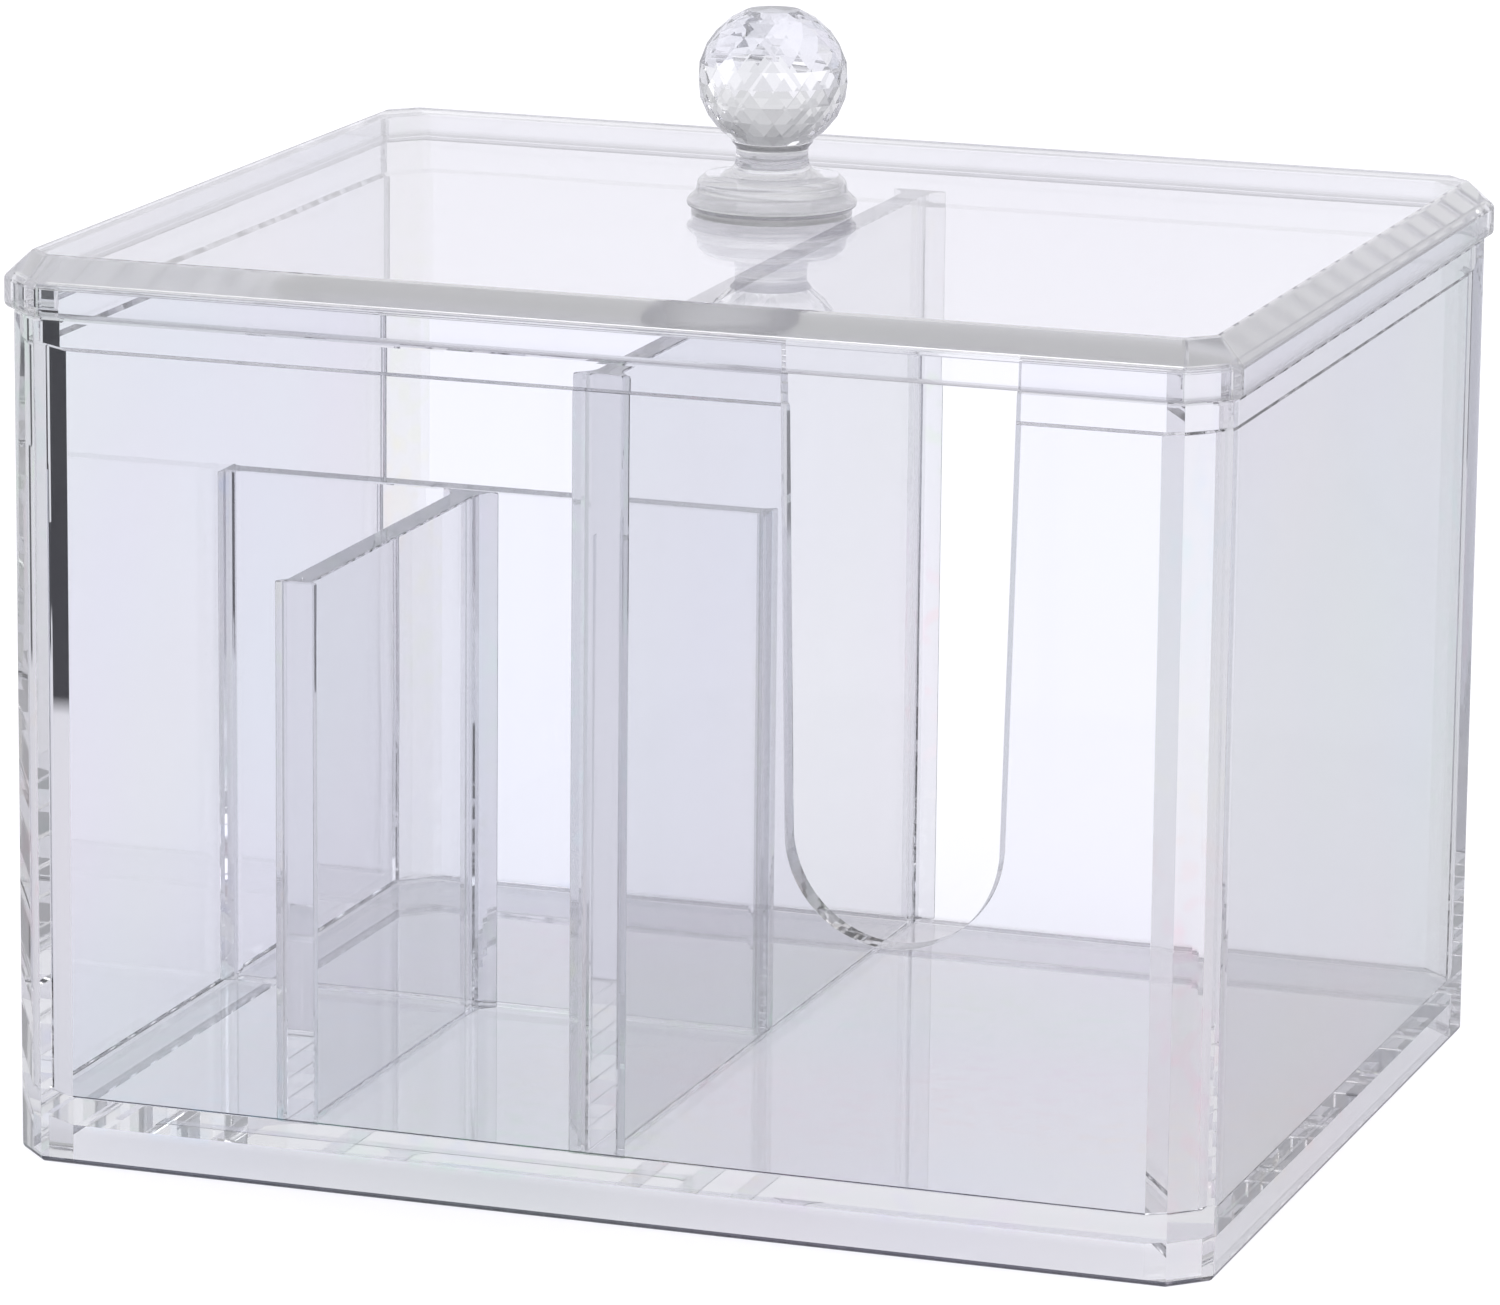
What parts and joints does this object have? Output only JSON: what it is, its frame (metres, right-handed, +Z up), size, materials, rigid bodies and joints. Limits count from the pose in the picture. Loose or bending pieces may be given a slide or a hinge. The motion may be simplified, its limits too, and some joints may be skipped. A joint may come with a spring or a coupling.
{
  "type": "storage box with lid",
  "caption": "Clear lidded storage box with cut corners, inner dividers of two heights, a finger slot in the front wall and a lift-off lid with a faceted knob.",
  "frame": {"origin": "Centre of the tub's underside, on the plane of the foot rim that it stands on.", "axes": "+Z up. +X is to the right and -Y is the front, the wall with the finger slot. The small cells are on the left."},
  "size_m": [0.138, 0.114, 0.1231],
  "materials": {
    "shell_clear": "polished clear acrylic with a faint lavender cast",
    "divider_clear": "polished clear acrylic sheet with pale grey edges",
    "lid_clear": "polished clear acrylic with a bevelled rim",
    "knob_clear": "polished clear acrylic, faceted on the ball and turned below"
  },
  "bodies": {
    "box": {"box_shell": "shell_clear", "main_divider": "divider_clear", "cross_divider": "divider_clear", "swab_divider": "divider_clear"},
    "lid": {"lid_cap": "lid_clear", "knob_base": "knob_clear", "knob_ball": "knob_clear"}
  },
  "joints": [
    {"name": "lid_lift", "type": "slide", "parent": "box", "child": "lid", "axis": [0, 0, 1], "range_m": [0, 0.1]}
  ]
}
